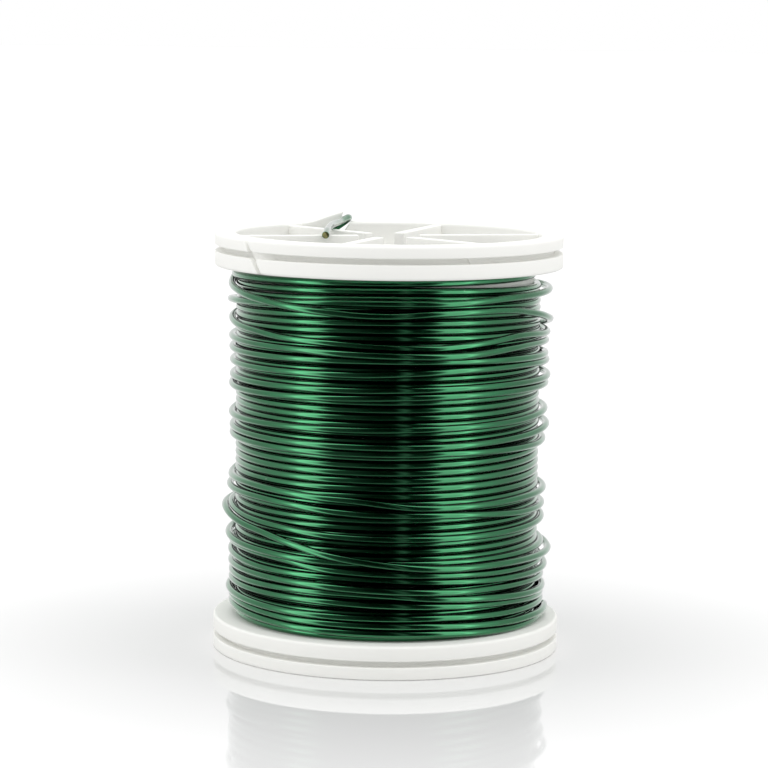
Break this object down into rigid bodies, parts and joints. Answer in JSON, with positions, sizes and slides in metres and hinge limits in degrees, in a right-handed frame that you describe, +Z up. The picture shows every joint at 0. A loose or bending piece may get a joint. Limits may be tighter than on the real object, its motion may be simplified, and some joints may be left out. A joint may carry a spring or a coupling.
{
  "type": "wire spool",
  "caption": "Small plastic spool wound with green enamelled copper wire, with grooved flanges, ribbed hollow barrel and a spring catch that holds the wire's free end.",
  "frame": {"origin": "centre of the face that the spool stands on", "axes": "+Z up along the spool's axis, from the flange that it stands on to the flange with the wire catch; -Y is the side seen in the picture"},
  "size_m": [0.032, 0.032, 0.0396],
  "materials": {
    "white_plastic": "semi-matt moulded",
    "enamelled_wire": "glossy enamel"
  },
  "bodies": {
    "spool": {"upper_flange": "white_plastic", "lower_flange": "white_plastic", "barrel": "white_plastic", "rib_1": "white_plastic", "rib_2": "white_plastic", "rib_3": "white_plastic", "rib_4": "white_plastic", "rib_5": "white_plastic", "rib_6": "white_plastic", "wire_inner_layers": "enamelled_wire", "wire_outer_layer": "enamelled_wire", "wire_free_end": "enamelled_wire"},
    "catch": {"catch_tongue": "white_plastic"}
  },
  "joints": [
    {"name": "catch_hinge", "type": "hinge", "parent": "spool", "child": "catch", "pos_m": [-0.00882, 0.01214, 0.0372], "axis": [0.5878, -0.809, 0], "range_deg": [0, 12], "stiffness_Nm_per_rad": 0.00002, "springref_deg": -11.46}
  ]
}
